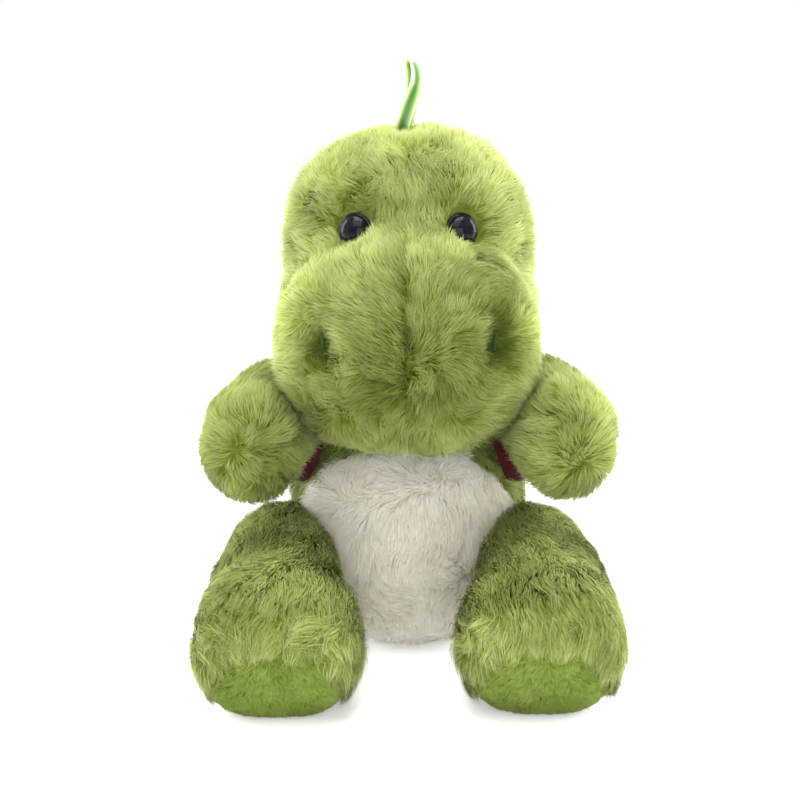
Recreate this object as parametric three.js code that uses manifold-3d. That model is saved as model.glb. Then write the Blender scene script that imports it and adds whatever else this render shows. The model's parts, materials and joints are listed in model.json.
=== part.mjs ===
// A sitting plush dinosaur, in millimetres, +Z up. It faces -Y, and its own left side is +X.
// The origin is on the floor, at the centre of the flat seat.
//
// Each limb, the head and the tail hang from a pivot inside a round seat that is hollowed out of the torso,
// so that they can swing without cutting into it. Every part is a thick plush skin round a stuffing.
import * as THREE from "three";
import { mergeVertices } from "three/addons/utils/BufferGeometryUtils.js";
import Module from "manifold-3d";

// ---------------------------------------------------------------- driving dimensions
const GAP = 0.3; // between two pieces that touch
const WALL = 5; // plush with its pressed pile
const SKIN_DETAIL = [16, 10]; // segments round and along an outer form
const FILL_DETAIL = [10, 7];
const SOCKET_GAP = 2; // between a root ball and the seat it turns in
const LIMB_ROOM = 2; // between a limb and the torso's skin beside it
const STUFFING_ROOM = 5; // between a limb or the head and the torso's stuffing
const ROOT_HOLE = 0.45; // the filling hole in a limb's root, as a share of the root's radius
const REACH = 120; // farther out than any part, for solids that only cut

// Stations are balls in a row: [distance along the axis, radius].
// A part swings about its axis through its pivot, to each of the angles in swing.
const TORSO = {
  stations: [[36, 46.5], [60, 42], [85, 31]],
  flatten: 0.92, // its depth is less than its width
  headRoom: 2.2,
};
const SEAT_Z = 0;
const BELLY = { z: 45, halfWidth: 36, halfHeight: 39.5, back: -6, segments: 40 };
const POUCH_RADII = [25, 21, 16];

const NECK = { pivot: [0, 4, 106], radius: 19, turns: [-6, 0, 6], nods: [3] };
const CRANIUM = { at: [0, -4, 57], radii: [46, 43, 44], roundness: 2 };
const MUZZLE = { at: [0, -39, 22.5], radii: [47, 37, 39], roundness: 2.5 };

const EYE = {
  radius: 6,
  dome: 4.6,
  rim: 1.2,
  bevel: 0.5, // the dome is this much smaller than the rim under it
  steps: 6,
  postRadius: 1.8,
  post: 13,
  sunk: 1.2,
  recess: 12, // the skin is open this far in front of the eye's back
};
const EYE_AT = [20.5, -38.5, 68.5]; // in the head's frame, on the skin
const EYE_FACING = [0.34, -0.92, 0.2];
const WASHER = { radius: 6, thickness: 1.6, depth: 6.2 };
// A stitch leans out towards its lower end, and stands proud of the skin in its middle.
const NOSTRIL = { x: 33, z: 27, height: 9, radius: 0.8, depth: 7, lean: 1, proud: 1 };
const LOOP = { height: 27, width: 4, thickness: 1.2, spread: 5, lean: 2.5, rise: 1.6, steps: 28 };
const ANCHOR = [5, 3.4, 4];

const ARM = {
  pivot: [37.5, 1, 83],
  end: [25.5, -46, 10.5],
  stations: [[0, 16], [22, 16], [54, 17.5]],
  axis: [-0.75, 0, 0.66],
  swing: [-8, 0, 26],
};
const LEG = {
  pivot: [31, -6, 32],
  end: [17, -68, -1.5],
  stations: [[0, 21], [33, 27], [70, 30.5]],
  axis: [-0.5, 0, 0.87],
  swing: [0, 12],
};
const TAIL = {
  pivot: [0, 36, 25],
  end: [0, 33, -10],
  stations: [[0, 17], [14, 15.5], [33, 11]],
  axis: [0, 0, 1],
  swing: [-15, 0, 15],
};
const SOLE = { tilt: 43, depth: 15, thickness: 3 }; // depth is from the foot's centre
const STRAP = {
  width: 7,
  thickness: 2,
  clear: 2.2, // from the arm's root
  facing: [1, -0.25, 0.1], // the way that the ring round the left shoulder faces
  halfDepth: 40,
  innerX: 17,
  yokeZ: 78,
  yokeHeight: 9,
  yokeFront: 5,
};
const THREAD = { radius: 0.7, from: 45, to: 70, step: 5, halfWidth: 2.2 };
const TUBE_SIDES = 3; // segments of each half of a thread's outline

// ---------------------------------------------------------------- materials
const COLOURS = {
  plush: [0x9cab58, 0.95],
  sole: [0x86a046, 0.95],
  cream: [0xe9e4d3, 0.95],
  fill: [0xf3f2ec, 1],
  pouch: [0xd9d7cf, 0.9],
  strap: [0x6b1423, 0.8],
  eye: [0x0a0a0c, 0.12],
  plastic: [0xe8e8e4, 0.5],
  ribbon: [0x5fa03a, 0.45],
  thread: [0x55702c, 0.8],
};

function material(slot) {
  const [color, roughness] = COLOURS[slot];
  return new THREE.MeshStandardMaterial({ color, roughness, metalness: 0 });
}

// ---------------------------------------------------------------- solids
const wasm = await Module();
wasm.setup();

function solid(geometry) {
  const bare = geometry.index ? geometry.toNonIndexed() : geometry.clone();
  bare.deleteAttribute("normal");
  bare.deleteAttribute("uv");
  const merged = mergeVertices(bare, 1e-4);
  return new wasm.Manifold(
    new wasm.Mesh({
      numProp: 3,
      vertProperties: merged.attributes.position.array,
      triVerts: new Uint32Array(merged.index.array),
    }),
  );
}

function mesh(name, shape, slot) {
  const { vertProperties, triVerts } = shape.getMesh();
  const geometry = new THREE.BufferGeometry();
  geometry.setAttribute("position", new THREE.BufferAttribute(vertProperties, 3));
  geometry.setIndex(new THREE.BufferAttribute(triVerts, 1));
  geometry.computeVertexNormals();
  const piece = new THREE.Mesh(geometry, material(slot));
  piece.name = name;
  return piece;
}

const join = (shapes) => shapes.reduce((whole, next) => whole.add(next));
const mirrored = (side, [x, y, z]) => [side * x, y, z];
const ORIGIN = [0, 0, 0];
const STILL = new THREE.Quaternion();

function turnAbout(axis, degrees) {
  const unit = new THREE.Vector3(...axis).normalize();
  return new THREE.Quaternion().setFromAxisAngle(unit, THREE.MathUtils.degToRad(degrees));
}

// A rounded mass. With a roundness of 2 it is an ellipsoid, and above that it is squarer.
function rounded({ at, radii, roundness }, grow, detail, offset = ORIGIN, turn = STILL) {
  const geometry = new THREE.SphereGeometry(1, ...detail);
  const place = geometry.getAttribute("position");
  for (let i = 0; i < place.count; i += 1) {
    const p = [place.getX(i), place.getY(i), place.getZ(i)];
    const length = p.reduce((sum, value) => sum + Math.abs(value) ** roundness, 0) ** (1 / roundness);
    place.setXYZ(i, ...p.map((value) => value / length));
  }
  geometry.rotateX(Math.PI / 2).scale(...radii.map((radius) => radius + grow));
  return solid(geometry.translate(...at).applyQuaternion(turn).translate(...offset));
}

function ball(at, radius) {
  return rounded({ at, radii: [radius, radius, radius], roundness: 2 }, 0, FILL_DETAIL);
}

const masses = (forms, grow, detail, offset, turn) =>
  join(forms.map((form) => rounded(form, grow, detail, offset, turn)));

// How wide a row of balls is at a place along its axis. Their radii change smoothly between stations.
function widthAt(stations, grow, y) {
  const samples = 40;
  const radiusAt = (t) => {
    const next = Math.max(1, stations.findIndex(([along]) => along >= t));
    const [[t0, r0], [t1, r1]] = [stations[next - 1], stations[next]];
    return THREE.MathUtils.mapLinear(t, t0, t1, r0, r1) + grow;
  };
  let widest = 0;
  for (let i = 0; i <= samples; i += 1) {
    const t = THREE.MathUtils.lerp(stations[0][0], stations.at(-1)[0], i / samples);
    widest = Math.max(widest, radiusAt(t) ** 2 - (y - t) ** 2);
  }
  return Math.sqrt(widest);
}

// The half-outline of a row of balls, from one end to the other.
function envelope(stations, grow, rows) {
  const [[start, startRadius], [end, endRadius]] = [stations[0], stations.at(-1)];
  const [low, high] = [start - startRadius - grow, end + endRadius + grow];
  const profile = [];
  for (let row = 0; row <= rows; row += 1) {
    const y = (low + high) / 2 - ((high - low) / 2) * Math.cos((Math.PI * row) / rows);
    profile.push([row % rows ? widthAt(stations, grow, y) : 0, y]);
  }
  return profile;
}

// A box between two corners.
function box(low, high) {
  const size = high.map((value, axis) => value - low[axis]);
  const middle = high.map((value, axis) => (value + low[axis]) / 2);
  return solid(new THREE.BoxGeometry(...size).translate(...middle));
}

const below = (z) => box([-REACH, -REACH, -REACH], [REACH, REACH, z]);

// Everything farther out than x, on one side of the toy.
function beside(side, x) {
  const low = side > 0 ? x : -REACH;
  return box([low, -REACH, -REACH], [low + REACH - x, REACH, REACH]);
}

// A lathe whose axis is turned from +Y to a direction, then swung, then moved.
function turned(profile, direction, at, segments = FILL_DETAIL[0], swing = STILL) {
  const geometry = new THREE.LatheGeometry(profile.map(([r, y]) => new THREE.Vector2(r, y)), segments);
  const turn = new THREE.Quaternion().setFromUnitVectors(
    new THREE.Vector3(0, 1, 0),
    new THREE.Vector3(...direction).normalize(),
  );
  geometry.applyQuaternion(turn).applyQuaternion(swing).translate(...at);
  return solid(geometry);
}

function tube(points, radius, steps) {
  const path = new THREE.CatmullRomCurve3(points.map((p) => new THREE.Vector3(...p)));
  const section = new THREE.Shape().absarc(0, 0, radius, 0, 2 * Math.PI);
  return solid(new THREE.ExtrudeGeometry(section, { steps, curveSegments: TUBE_SIDES, extrudePath: path }));
}

// ---------------------------------------------------------------- forms that more than one part needs
const headForms = [CRANIUM, MUZZLE]; // in the neck's frame
const rootRadius = ({ stations }) => stations[0][1];

// Limbs with their sides: +1 is the toy's left, -1 its right.
const LIMBS = [[TAIL, 1], ...[ARM, LEG].flatMap((part) => [[part, 1], [part, -1]])];

function limb({ end, stations }, side, grow, [segments, rows], offset = ORIGIN, swing = STILL) {
  return turned(envelope(stations, grow, rows), mirrored(side, end), offset, segments, swing);
}

// All the space that a limb needs as it swings.
function limbSweep(part, side) {
  const axis = [part.axis[0], side * part.axis[1], side * part.axis[2]];
  const places = part.swing.map((degrees) => limbRoom(part, side, LIMB_ROOM, turnAbout(axis, degrees)));
  return join(places);
}

function limbRoom(part, side, room, swing = STILL) {
  return limb(part, side, room, FILL_DETAIL, mirrored(side, part.pivot), swing);
}

// All the space that the head needs as it turns and nods.
function headSweep() {
  const places = NECK.turns.flatMap((turn) =>
    NECK.nods.map((nod) => {
      const pose = turnAbout([0, 0, 1], turn).multiply(turnAbout([1, 0, 0], nod));
      return masses(headForms, TORSO.headRoom, FILL_DETAIL, NECK.pivot, pose);
    }),
  );
  return join(places);
}

// ---------------------------------------------------------------- torso
function torso(grow, [segments, rows] = SKIN_DETAIL) {
  const profile = envelope(TORSO.stations, grow, rows);
  const outline = profile.map(([r, z]) => new THREE.Vector2(r, z));
  const geometry = new THREE.LatheGeometry(outline, segments);
  geometry.rotateX(Math.PI / 2).scale(1, TORSO.flatten, 1);
  return solid(geometry);
}

function sockets() {
  const neck = ball(NECK.pivot, NECK.radius + SOCKET_GAP);
  const roots = LIMBS.map(([part, side]) =>
    ball(mirrored(side, part.pivot), rootRadius(part) + SOCKET_GAP),
  );
  return join([neck, ...roots]);
}

// The limbs and the head press the torso in where they leave it.
function skinCuts() {
  return join([sockets(), headSweep(), ...LIMBS.map(([part, side]) => limbSweep(part, side))]);
}

function stuffingCuts() {
  const head = masses(headForms, STUFFING_ROOM, FILL_DETAIL, NECK.pivot);
  return join([sockets(), head, ...LIMBS.map(([part, side]) => limbRoom(part, side, STUFFING_ROOM))]);
}

// The oval column that cuts the belly's panel out of the torso's skin.
function bellyCut(grow) {
  const geometry = new THREE.CylinderGeometry(1, 1, REACH, BELLY.segments);
  geometry.scale(BELLY.halfWidth + grow, 1, BELLY.halfHeight + grow);
  geometry.translate(0, BELLY.back - REACH / 2, BELLY.z);
  return solid(geometry);
}

// The weighting bag is a dome on the stuffing's floor.
function pouch(grow, floor) {
  return rounded({ at: [0, 0, floor], radii: POUCH_RADII, roundness: 2 }, grow, FILL_DETAIL);
}

function buildTorso() {
  const group = new THREE.Group();
  const cuts = skinCuts();
  const outer = torso(0).subtract(below(SEAT_Z));
  const inner = torso(-WALL, FILL_DETAIL).subtract(below(SEAT_Z + WALL));
  const shell = outer.subtract(inner).subtract(cuts);
  group.add(mesh("torso_skin", shell.subtract(bellyCut(GAP)), "plush"));
  group.add(mesh("belly_panel", shell.intersect(bellyCut(0)), "cream"));

  const fillFloor = SEAT_Z + WALL + GAP;
  const under = below(fillFloor);
  const fill = torso(-WALL - GAP, FILL_DETAIL).subtract(under).subtract(stuffingCuts());
  group.add(mesh("torso_stuffing", fill.subtract(pouch(GAP, fillFloor)), "fill"));
  group.add(mesh("pellet_pouch", pouch(0, fillFloor).subtract(under).subtract(cuts), "pouch"));
  group.add(...buildStraps(cuts));
  group.add(mesh("closing_thread", buildClosingThread(), "thread"));
  return group;
}

// Bands that lie on the torso: one round each shoulder, joined across the back.
function buildStraps(cuts) {
  const layer = torso(GAP + STRAP.thickness).subtract(torso(GAP)).subtract(cuts);
  const pieces = [
    mesh("shoulder_strap_left", largest(layer.intersect(shoulderRing(1, 0))), "strap"),
    mesh("shoulder_strap_right", largest(layer.intersect(shoulderRing(-1, 0))), "strap"),
  ];
  const half = STRAP.yokeHeight / 2;
  const across = box([-REACH, STRAP.yokeFront, STRAP.yokeZ - half], [REACH, REACH, STRAP.yokeZ + half]);
  const yoke = layer.intersect(across).subtract(shoulderRing(1, GAP)).subtract(shoulderRing(-1, GAP));
  pieces.push(mesh("strap_yoke", largest(yoke), "strap"));
  return pieces;
}

// A pipe round the arm's root. Where it meets the torso's surface it leaves a ring-shaped band.
function shoulderRing(side, grow) {
  const inner = rootRadius(ARM) + STRAP.clear - grow;
  const outer = inner + STRAP.width + 2 * grow;
  const section = [
    [inner, -STRAP.halfDepth],
    [outer, -STRAP.halfDepth],
    [outer, STRAP.halfDepth],
    [inner, STRAP.halfDepth],
    [inner, -STRAP.halfDepth],
  ];
  const pipe = turned(section, mirrored(side, STRAP.facing), mirrored(side, ARM.pivot), SKIN_DETAIL[0]);
  return pipe.intersect(beside(side, STRAP.innerX));
}

// The biggest of the separate bodies in a shape. The others are slivers left by a cut.
function largest(shape) {
  return shape.decompose().reduce((best, next) => (next.volume() > best.volume() ? next : best));
}

// A ladder of stitches that closes the back after filling.
function buildClosingThread() {
  const points = [];
  for (let z = THREAD.from, index = 0; z <= THREAD.to; z += THREAD.step, index += 1) {
    const y = widthAt(TORSO.stations, GAP, z) * TORSO.flatten + THREAD.radius;
    points.push([index % 2 ? THREAD.halfWidth : -THREAD.halfWidth, y, z]);
  }
  return tube(points, THREAD.radius, points.length * 3);
}

// ---------------------------------------------------------------- head
function eyeSolid(side, grow) {
  const r = EYE.radius + grow;
  const postR = EYE.postRadius + grow;
  const profile = [
    [0, -EYE.post - grow],
    [postR, -EYE.post - grow],
    [postR, -grow],
    [r, -grow],
    [r, EYE.rim],
  ];
  for (let i = 1; i <= EYE.steps; i += 1) {
    const angle = (i / EYE.steps) * (Math.PI / 2);
    const rise = (EYE.dome - EYE.rim + grow) * Math.sin(angle);
    profile.push([i === EYE.steps ? 0 : (r - EYE.bevel) * Math.cos(angle), EYE.rim + rise]);
  }
  return turned(profile, mirrored(side, EYE_FACING), eyeBase(side));
}

function eyeBase(side) {
  const facing = new THREE.Vector3(...EYE_FACING).normalize();
  const base = new THREE.Vector3(...EYE_AT).addScaledVector(facing, -EYE.sunk);
  return mirrored(side, base.toArray());
}

// Room for the eye to sit in the skin, open to the front.
function eyeRecess(side) {
  const profile = [
    [0, -GAP],
    [EYE.radius + GAP, -GAP],
    [EYE.radius + GAP, EYE.recess],
    [0, EYE.recess],
  ];
  return turned(profile, mirrored(side, EYE_FACING), eyeBase(side));
}

function washerSolid(side, grow) {
  const inner = Math.max(EYE.postRadius + GAP - grow, 0);
  const outer = WASHER.radius + grow;
  const back = -WASHER.depth - WASHER.thickness - grow;
  const front = -WASHER.depth + grow;
  const profile = [
    [inner, back],
    [outer, back],
    [outer, front],
    [inner, front],
    [inner, back],
  ];
  return turned(profile, mirrored(side, EYE_FACING), eyeBase(side));
}

// A stitch that pulls the muzzle in: two legs into the stuffing, joined over the skin.
function nostrilStitch(side, grow) {
  const { x, z, height, depth, radius, lean, proud } = NOSTRIL;
  const share = Math.sqrt(1 - (x / MUZZLE.radii[0]) ** 2);
  const front = MUZZLE.at[1] - MUZZLE.radii[1] * share - proud;
  const back = front + depth + grow;
  const half = height / 2;
  const points = [
    [x - 2 * lean, back, z + half - lean],
    [x, front + lean + proud / 2, z + half],
    [x + lean / 2, front, z],
    [x + lean, front + 2 * lean, z - half],
    [x - lean, back, z - half + lean],
  ];
  return tube(points.map((p) => mirrored(side, p)), radius + grow, 2 * points.length);
}

function buildHead() {
  const group = new THREE.Group();
  group.position.set(...NECK.pivot);
  const neckRoom = ball(ORIGIN, NECK.radius + SOCKET_GAP);
  const sides = [-1, 1];
  const stitches = join(sides.map((side) => nostrilStitch(side, GAP)));
  const eyeRoom = join(sides.flatMap((side) => [eyeRecess(side), eyeSolid(side, GAP)]));
  const washerRoom = join(sides.map((side) => washerSolid(side, 2 * GAP)));
  const anchorRoom = box(...anchorBox(GAP));
  const openings = join([neckRoom, stitches, eyeRoom, washerRoom, anchorRoom]);

  const inner = masses(headForms, -WALL, FILL_DETAIL);
  const muzzle = rounded(MUZZLE, 0, SKIN_DETAIL).subtract(inner).subtract(openings);
  const crown = rounded(CRANIUM, 0, SKIN_DETAIL)
    .subtract(inner)
    .subtract(rounded(MUZZLE, GAP, SKIN_DETAIL))
    .subtract(openings);
  group.add(mesh("crown_skin", largest(crown), "plush"));
  for (const [name, side] of [["muzzle_left", 1], ["muzzle_right", -1]]) {
    const half = muzzle.intersect(beside(side, GAP / 2));
    group.add(mesh(name, largest(half), "plush"));
  }
  const fill = masses(headForms, -WALL - GAP, FILL_DETAIL).subtract(openings);
  group.add(mesh("head_stuffing", largest(fill), "fill"));

  for (const [word, side] of [["left", 1], ["right", -1]]) {
    group.add(mesh(`eye_${word}`, eyeSolid(side, 0), "eye"));
    group.add(mesh(`eye_washer_${word}`, washerSolid(side, 0), "plastic"));
    group.add(mesh(`nostril_stitch_${word}`, nostrilStitch(side, 0), "thread"));
  }
  group.add(mesh("loop_anchor", box(...anchorBox(0)), "ribbon"));
  const loop = mesh("hang_loop", buildLoop(), "ribbon");
  loop.position.set(...loopPivot());
  group.add(loop);
  return group;
}

// ---------------------------------------------------------------- hanging loop
function loopPivot() {
  return [0, CRANIUM.at[1], CRANIUM.at[2] + CRANIUM.radii[2] + LOOP.rise];
}

// The tab that is sewn into the crown's seam, just under the crown's top.
function anchorBox(grow) {
  const [x, y] = loopPivot();
  const top = CRANIUM.at[2] + CRANIUM.radii[2];
  const [width, depth, height] = ANCHOR;
  const low = [x - width / 2 - grow, y - depth / 2 - grow, top - height - grow];
  const high = [x + width / 2 + grow, y + depth / 2 + grow, top + 4 * grow];
  return [low, high];
}

// A ribbon that goes up, over and down again to where it started, leaning to one side.
function buildLoop() {
  const foot = LOOP.thickness / 2 + GAP / 2;
  const top = LOOP.height - LOOP.thickness / 2;
  const wide = LOOP.spread;
  const points = [
    [0, -foot, 0],
    [LOOP.lean * 0.2, -wide * 0.7, top * 0.35],
    [LOOP.lean * 0.7, -wide, top * 0.75],
    [LOOP.lean, 0, top],
    [LOOP.lean * 0.7, wide, top * 0.75],
    [LOOP.lean * 0.2, wide * 0.7, top * 0.35],
    [0, foot, 0],
  ];
  const path = new THREE.CatmullRomCurve3(points.map((p) => new THREE.Vector3(...p)));
  const [w, t] = [LOOP.width / 2, LOOP.thickness / 2];
  const section = new THREE.Shape([
    new THREE.Vector2(-w, -t),
    new THREE.Vector2(w, -t),
    new THREE.Vector2(w, t),
    new THREE.Vector2(-w, t),
  ]);
  return solid(new THREE.ExtrudeGeometry(section, { steps: LOOP.steps, extrudePath: path }));
}

// ---------------------------------------------------------------- limbs
// The hole at the root through which a limb is filled before it is sewn on.
function rootHole(part, side) {
  const length = rootRadius(part) + WALL;
  const radius = rootRadius(part) * ROOT_HOLE;
  const profile = [
    [0, 0],
    [radius, 0],
    [radius, length],
    [0, length],
  ];
  const away = mirrored(side, part.end).map((value) => -value);
  return turned(profile, away, ORIGIN);
}

function buildLimb(part, side, names) {
  const group = new THREE.Group();
  group.position.set(...mirrored(side, part.pivot));
  const skin = limb(part, side, 0, SKIN_DETAIL).subtract(limb(part, side, -WALL, FILL_DETAIL));
  group.add(mesh(names.skin, skin.subtract(rootHole(part, side)), "plush"));
  group.add(mesh(names.fill, limb(part, side, -WALL - GAP, FILL_DETAIL), "fill"));
  return group;
}

// Everything in front of a tilted plane across the foot, at a depth from the foot's centre.
function beyondSole(side, depth) {
  const foot = mirrored(side, LEG.end);
  const geometry = new THREE.BoxGeometry(REACH, REACH, REACH);
  geometry.translate(0, -REACH / 2 - depth, 0);
  geometry.rotateX(THREE.MathUtils.degToRad(SOLE.tilt)).translate(...foot);
  return solid(geometry);
}

function buildLeg(side, word) {
  const group = new THREE.Group();
  group.position.set(...mirrored(side, LEG.pivot));
  const outer = limb(LEG, side, 0, SKIN_DETAIL);
  const skin = outer.subtract(limb(LEG, side, -WALL, FILL_DETAIL));
  const behind = SOLE.depth - SOLE.thickness - GAP;
  group.add(mesh(`leg_skin_${word}`, skin.subtract(beyondSole(side, behind)), "plush"));
  const slab = outer.intersect(beyondSole(side, SOLE.depth - SOLE.thickness));
  group.add(mesh(`sole_${word}`, slab.subtract(beyondSole(side, SOLE.depth)), "sole"));
  const fill = limb(LEG, side, -WALL - GAP, FILL_DETAIL);
  group.add(mesh(`leg_stuffing_${word}`, fill.subtract(beyondSole(side, behind)), "fill"));
  return group;
}

function buildNeck() {
  const group = new THREE.Group();
  group.position.set(...NECK.pivot);
  group.add(mesh("neck_stuffing", ball(ORIGIN, NECK.radius), "fill"));
  return group;
}

// ---------------------------------------------------------------- the toy
const dinosaur = new THREE.Group();
dinosaur.add(buildTorso(), buildNeck(), buildHead());
for (const [word, side] of [["left", 1], ["right", -1]]) {
  const names = { skin: `arm_skin_${word}`, fill: `arm_stuffing_${word}` };
  dinosaur.add(buildLimb(ARM, side, names), buildLeg(side, word));
}
dinosaur.add(buildLimb(TAIL, 1, { skin: "tail_skin", fill: "tail_stuffing" }));

export default dinosaur;
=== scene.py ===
"""A sitting plush dinosaur with long soft pile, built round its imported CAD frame.

Metres. +Z is up, the toy faces -Y and its own left side is +X. side is 1 on its left and -1 on its right.
"""

import json
import math

import bpy
import numpy as np
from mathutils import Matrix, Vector, kdtree


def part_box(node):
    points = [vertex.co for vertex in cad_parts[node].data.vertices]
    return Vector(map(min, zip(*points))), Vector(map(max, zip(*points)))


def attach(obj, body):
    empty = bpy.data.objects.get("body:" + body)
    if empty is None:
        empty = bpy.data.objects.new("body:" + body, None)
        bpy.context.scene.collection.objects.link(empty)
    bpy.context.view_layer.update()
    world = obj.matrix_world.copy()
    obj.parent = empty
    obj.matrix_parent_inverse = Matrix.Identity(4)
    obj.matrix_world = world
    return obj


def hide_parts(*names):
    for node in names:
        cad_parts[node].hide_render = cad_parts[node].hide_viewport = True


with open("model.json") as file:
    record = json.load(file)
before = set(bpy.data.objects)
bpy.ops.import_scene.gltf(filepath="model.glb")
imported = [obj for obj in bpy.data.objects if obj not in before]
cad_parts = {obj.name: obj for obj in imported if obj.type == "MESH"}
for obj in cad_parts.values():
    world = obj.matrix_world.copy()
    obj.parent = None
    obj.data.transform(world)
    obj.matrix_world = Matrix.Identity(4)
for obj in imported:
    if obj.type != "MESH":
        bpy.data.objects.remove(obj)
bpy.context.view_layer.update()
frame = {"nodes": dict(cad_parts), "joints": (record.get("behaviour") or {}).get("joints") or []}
MM = 0.001
JOINTS = {joint["name"]: joint for joint in frame["joints"]}
SIDES = (("left", 1), ("right", -1))
FLOOR_CLEAR = 0.3 * MM
PILE_DEPTH = 0.4 * MM  # the backing cloth lies this far under the CAD skin


# ---------------------------------------------------------------- camera, floor and light
CAMERA_DISTANCE = 0.72
CAMERA_ELEVATION = math.radians(11)
CAMERA_LENS = 81
CAMERA_TARGET = Vector((-3.2 * MM, 0, 100 * MM))


def make_camera():
    data = bpy.data.cameras.new("camera")
    data.lens = CAMERA_LENS
    data.sensor_width = 36
    camera = bpy.data.objects.new("camera", data)
    bpy.context.scene.collection.objects.link(camera)
    back = Vector((0, -math.cos(CAMERA_ELEVATION), math.sin(CAMERA_ELEVATION)))
    camera.location = CAMERA_TARGET + CAMERA_DISTANCE * back
    camera.rotation_euler = (-back).to_track_quat("-Z", "Y").to_euler()
    bpy.context.scene.camera = camera


HEAD_MIDDLE = (0, 0, 0.11)
FEET_MIDDLE = (0, 0, 0.05)
LIGHTS = (  # name, place, size, watts and what it faces
    ("key", (-0.15, -0.6, 0.95), 0.8, 7.5, HEAD_MIDDLE),
    ("low", (0.1, -0.95, 0.12), 0.8, 7.5, FEET_MIDDLE),
    ("rim_left", (0.75, 0.3, 0.4), 0.7, 13, HEAD_MIDDLE),
    ("rim_right", (-0.75, 0.3, 0.4), 0.7, 11, HEAD_MIDDLE),
    ("top", (0.0, -0.05, 0.95), 0.6, 11, HEAD_MIDDLE),
)
FLOOR_REACH = 6
FLOOR_GLOW = 0.35


def area_light(name, place, size, power, target):
    data = bpy.data.lights.new(name, "AREA")
    data.size = size
    data.energy = power
    light = bpy.data.objects.new(name, data)
    bpy.context.scene.collection.objects.link(light)
    light.location = place
    aim = Vector(target) - Vector(place)
    light.rotation_euler = aim.to_track_quat("-Z", "Y").to_euler()


BACKDROP_FROM, BACKDROP_TO = -0.5, 0.75  # along y: -1 is straight in front of the toy and 1 behind it
ROOM_STRENGTH, BACKDROP_STRENGTH = 0.5, 1.0


def white_cove():
    """A white backdrop behind the toy that darkens to a dim room in front of it."""
    world = bpy.data.worlds.new("studio")
    world.use_nodes = True
    nodes, links = world.node_tree.nodes, world.node_tree.links
    direction = nodes.new("ShaderNodeTexCoord")
    parts = nodes.new("ShaderNodeSeparateXYZ")
    links.new(direction.outputs["Generated"], parts.inputs["Vector"])
    spread = nodes.new("ShaderNodeMapRange")
    spread.inputs["From Min"].default_value = BACKDROP_FROM
    spread.inputs["From Max"].default_value = BACKDROP_TO
    spread.inputs["To Min"].default_value = ROOM_STRENGTH
    spread.inputs["To Max"].default_value = BACKDROP_STRENGTH
    links.new(parts.outputs["Y"], spread.inputs["Value"])
    links.new(spread.outputs["Result"], nodes["Background"].inputs["Strength"])
    nodes["Background"].inputs["Color"].default_value = (1, 1, 1, 1)
    return world


def make_studio():
    scene = bpy.context.scene
    scene.view_settings.view_transform = "Standard"
    scene.world = white_cove()
    for light in LIGHTS:
        area_light(*light)
    make_floor()


def make_floor():
    floor_mesh = bpy.data.meshes.new("floor")
    corners = [(x * FLOOR_REACH, y * FLOOR_REACH, 0) for x, y in ((-1, -1), (1, -1), (1, 1), (-1, 1))]
    floor_mesh.from_pydata(corners, [], [(0, 1, 2, 3)])
    floor = bpy.data.objects.new("floor", floor_mesh)
    bpy.context.scene.collection.objects.link(floor)
    material = new_material("floor_white")
    shader = shader_of(material)
    shader.inputs["Base Color"].default_value = (1, 1, 1, 1)
    shader.inputs["Roughness"].default_value = 0.9
    shader.inputs["Emission Color"].default_value = (1, 1, 1, 1)
    shader.inputs["Emission Strength"].default_value = FLOOR_GLOW
    floor_mesh.materials.append(material)
    return floor


# ---------------------------------------------------------------- materials
def new_material(name):
    material = bpy.data.materials.new(name)
    material.use_nodes = True
    return material


def shader_of(material):
    return material.node_tree.nodes["Principled BSDF"]


def add_node(material, kind, **values):
    node = material.node_tree.nodes.new(kind)
    for name, value in values.items():
        node.inputs[name].default_value = value
    return node


def link(material, output, socket):
    material.node_tree.links.new(output, socket)


def ramp(material, factor, stops):
    """A colour ramp from [(place, (r, g, b)), ...]."""
    node = add_node(material, "ShaderNodeValToRGB")
    elements = node.color_ramp.elements
    while len(elements) < len(stops):
        elements.new(0.5)
    for element, (place, color) in zip(elements, stops):
        element.position = place
        element.color = (*color, 1)
    link(material, factor, node.inputs["Fac"])
    return node.outputs["Color"]


def mix(material, factor, first, second):
    node = add_node(material, "ShaderNodeMix")
    node.data_type = "RGBA"
    link(material, factor, node.inputs["Factor"])
    link(material, first, node.inputs["A"])
    link(material, second, node.inputs["B"])
    return node.outputs["Result"]


# a strand's u also carries the painted light and shade of the place where it grows
STRAND_MAP = "OFBake"  # u: a strand's own shade, v: 0 at its root and 1 at its tip
COLOR_PLACES = (0.0, 0.45, 1.0)  # along a strand
DYE_SCALE = 90
WEAVE_RELIEF = 0.4 * MM


def pile_material(name, dull, bright, tint):
    """Long pile. dull and bright are (root, middle, tip) colours of the darkest and palest strands; darker roots
    are painted shade, paler tips a painted highlight.
    """
    material = new_material(name)
    strand = add_node(material, "ShaderNodeUVMap")
    strand.uv_map = STRAND_MAP
    parts = add_node(material, "ShaderNodeSeparateXYZ")
    link(material, strand.outputs["UV"], parts.inputs["Vector"])
    low = ramp(material, parts.outputs["Y"], list(zip(COLOR_PLACES, dull)))
    high = ramp(material, parts.outputs["Y"], list(zip(COLOR_PLACES, bright)))
    color = mix(material, parts.outputs["X"], low, high)
    shader = shader_of(material)
    link(material, color, shader.inputs["Base Color"])
    shader.inputs["Roughness"].default_value = 0.85
    shader.inputs["Specular IOR Level"].default_value = 0.1
    shader.inputs["Sheen Weight"].default_value = 0.05
    shader.inputs["Sheen Roughness"].default_value = 0.5
    shader.inputs["Sheen Tint"].default_value = (*tint, 1)
    return material


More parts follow.
